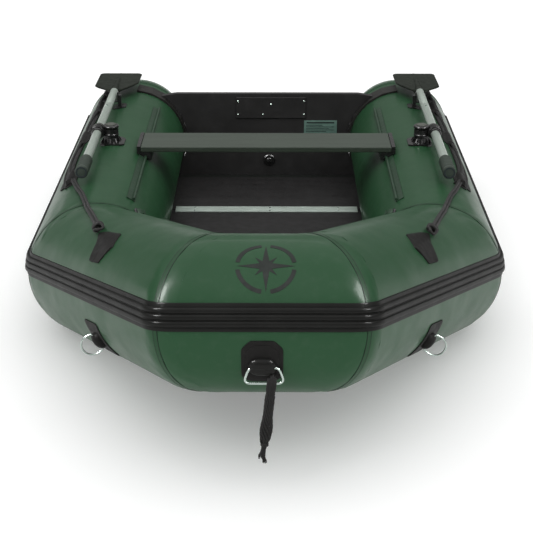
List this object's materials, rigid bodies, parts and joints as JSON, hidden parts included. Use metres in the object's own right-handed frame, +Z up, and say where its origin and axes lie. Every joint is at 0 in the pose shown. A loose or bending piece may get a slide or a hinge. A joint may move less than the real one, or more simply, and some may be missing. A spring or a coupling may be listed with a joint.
{
  "type": "inflatable dinghy",
  "caption": "Small inflatable boat with a raised bow, hard floor, wooden transom, sliding bench, stowed oars in rowlocks, lifelines and a bow ring with a painter.",
  "frame": {"origin": "on the ground under the middle of the hull", "axes": "+Z up, -Y to the bow, +Y to the transom, +X to port"},
  "size_m": [1.3864, 2.6097, 0.5562],
  "materials": {
    "green_pvc": "satin coated fabric",
    "black_pvc": "satin",
    "bottom_pvc": "matte coated fabric",
    "floor_board": "black film-faced plywood",
    "transom_board": "black painted plywood",
    "bench_paint": "satin paint",
    "aluminium": "anodised",
    "black_plastic": "moulded",
    "grip_plastic": "ribbed grip",
    "blade_plastic": "moulded",
    "steel": "polished stainless steel",
    "rope": "braided rope",
    "valve_cap_plastic": "moulded"
  },
  "bodies": {
    "hull": {"starboard_tube": "green_pvc", "port_tube": "green_pvc", "bow_tube": "green_pvc", "starboard_diaphragm": "green_pvc", "port_diaphragm": "green_pvc", "starboard_seat_rail": "green_pvc", "port_seat_rail": "green_pvc", "rubbing_strake": "black_pvc", "starboard_transom_band": "black_pvc", "port_transom_band": "black_pvc", "starboard_lifeline_patch": "black_pvc", "port_lifeline_patch": "black_pvc", "bow_ring_patch": "black_pvc", "starboard_quarter_ring_patch": "black_pvc", "port_quarter_ring_patch": "black_pvc", "bottom_skin": "bottom_pvc", "bow_floor_board": "floor_board", "middle_floor_board": "floor_board", "stern_floor_board": "floor_board", "transom_board": "transom_board", "front_cross_profile": "aluminium", "rear_cross_profile": "aluminium", "inner_motor_plate": "black_plastic", "outer_motor_plate": "black_plastic", "drain_valve_body": "black_plastic", "starboard_rowlock_base": "black_plastic", "starboard_rowlock_cap": "black_plastic", "port_rowlock_base": "black_plastic", "port_rowlock_cap": "black_plastic", "starboard_oar_holder": "black_plastic", "port_oar_holder": "black_plastic", "starboard_valve_body": "black_plastic", "port_valve_body": "black_plastic", "bow_valve_body": "black_plastic", "starboard_lifeline": "rope", "port_lifeline": "rope"},
    "bench": {"bench_plank": "bench_paint", "starboard_bench_end": "black_plastic", "port_bench_end": "black_plastic"},
    "bow_ring": {"bow_ring": "steel"},
    "painter": {"painter_hank": "rope"},
    "bow_valve_cap": {"bow_valve_cap": "valve_cap_plastic"},
    "drain_plug": {"drain_plug": "black_plastic"},
    "starboard_rowlock_arm": {"starboard_rowlock_arm": "black_plastic"},
    "starboard_oar": {"starboard_oar_grip": "grip_plastic", "starboard_oar_loom": "aluminium", "starboard_oar_outer_shaft": "aluminium", "starboard_oar_blade": "blade_plastic"},
    "starboard_snap_button": {"starboard_snap_button": "steel"},
    "starboard_quarter_ring": {"starboard_quarter_ring": "steel"},
    "starboard_valve_cap": {"starboard_valve_cap": "valve_cap_plastic"},
    "port_rowlock_arm": {"port_rowlock_arm": "black_plastic"},
    "port_oar": {"port_oar_grip": "grip_plastic", "port_oar_loom": "aluminium", "port_oar_outer_shaft": "aluminium", "port_oar_blade": "blade_plastic"},
    "port_snap_button": {"port_snap_button": "steel"},
    "port_quarter_ring": {"port_quarter_ring": "steel"},
    "port_valve_cap": {"port_valve_cap": "valve_cap_plastic"}
  },
  "joints": [
    {"name": "bench_slide", "type": "slide", "parent": "hull", "child": "bench", "axis": [0, 1, 0], "range_m": [-0.4, 0.41]},
    {"name": "starboard_oar_swing", "type": "hinge", "parent": "hull", "child": "starboard_rowlock_arm", "pos_m": [-0.507, 0.2824, 0.413], "axis": [0, 0, 1], "range_deg": [0, 130]},
    {"name": "starboard_oar_feather", "type": "hinge", "parent": "starboard_rowlock_arm", "child": "starboard_oar", "pos_m": [-0.549, 0.2824, 0.413], "axis": [0, 1, 0], "range_deg": [-22, 14]},
    {"name": "starboard_snap_push", "type": "slide", "parent": "starboard_oar", "child": "starboard_snap_button", "axis": [0, 0, -1], "range_m": [0, 0.004], "stiffness_N_per_m": 400, "springref_m": -0.0005},
    {"name": "starboard_ring_swing", "type": "hinge", "parent": "hull", "child": "starboard_quarter_ring", "pos_m": [-0.42442, -0.90017, 0.19832], "axis": [-0.5302, -0.0559, 0.846], "range_deg": [-60, 80]},
    {"name": "starboard_valve_cap_turn", "type": "hinge", "parent": "hull", "child": "starboard_valve_cap", "pos_m": [-0.36406, -0.2836, 0.32094], "axis": [0.7071, 0, 0.7071], "range_deg": [0, 90]},
    {"name": "port_oar_swing", "type": "hinge", "parent": "hull", "child": "port_rowlock_arm", "pos_m": [0.507, 0.2824, 0.413], "axis": [0, 0, -1], "range_deg": [0, 130]},
    {"name": "port_oar_feather", "type": "hinge", "parent": "port_rowlock_arm", "child": "port_oar", "pos_m": [0.549, 0.2824, 0.413], "axis": [0, 1, 0], "range_deg": [-14, 22]},
    {"name": "port_snap_push", "type": "slide", "parent": "port_oar", "child": "port_snap_button", "axis": [0, 0, -1], "range_m": [0, 0.004], "stiffness_N_per_m": 400, "springref_m": -0.0005},
    {"name": "port_ring_swing", "type": "hinge", "parent": "hull", "child": "port_quarter_ring", "pos_m": [0.42442, -0.90017, 0.19832], "axis": [-0.5302, 0.0559, -0.846], "range_deg": [-60, 80]},
    {"name": "port_valve_cap_turn", "type": "hinge", "parent": "hull", "child": "port_valve_cap", "pos_m": [0.36406, -0.2836, 0.32094], "axis": [-0.7071, 0, 0.7071], "range_deg": [0, 90]},
    {"name": "bow_valve_cap_turn", "type": "hinge", "parent": "hull", "child": "bow_valve_cap", "pos_m": [-0.2605, -0.54592, 0.38194], "axis": [0.5669, 0.4488, 0.6908], "range_deg": [0, 90]},
    {"name": "bow_ring_swing", "type": "hinge", "parent": "hull", "child": "bow_ring", "pos_m": [0, -1.29545, 0.31356], "axis": [-1, 0, 0], "range_deg": [0, 90]},
    {"name": "painter_swing", "type": "hinge", "parent": "bow_ring", "child": "painter", "pos_m": [0, -1.29545, 0.27456], "axis": [-1, 0, 0], "range_deg": [-90, 0]},
    {"name": "drain_plug_turn", "type": "hinge", "parent": "hull", "child": "drain_plug", "pos_m": [0.008, 0.9544, 0.106], "axis": [0, -1, 0], "range_deg": [-90, 0]}
  ],
  "couplings": [
    {"joint": "painter_swing", "follows": "bow_ring_swing", "ratio": -1}
  ]
}
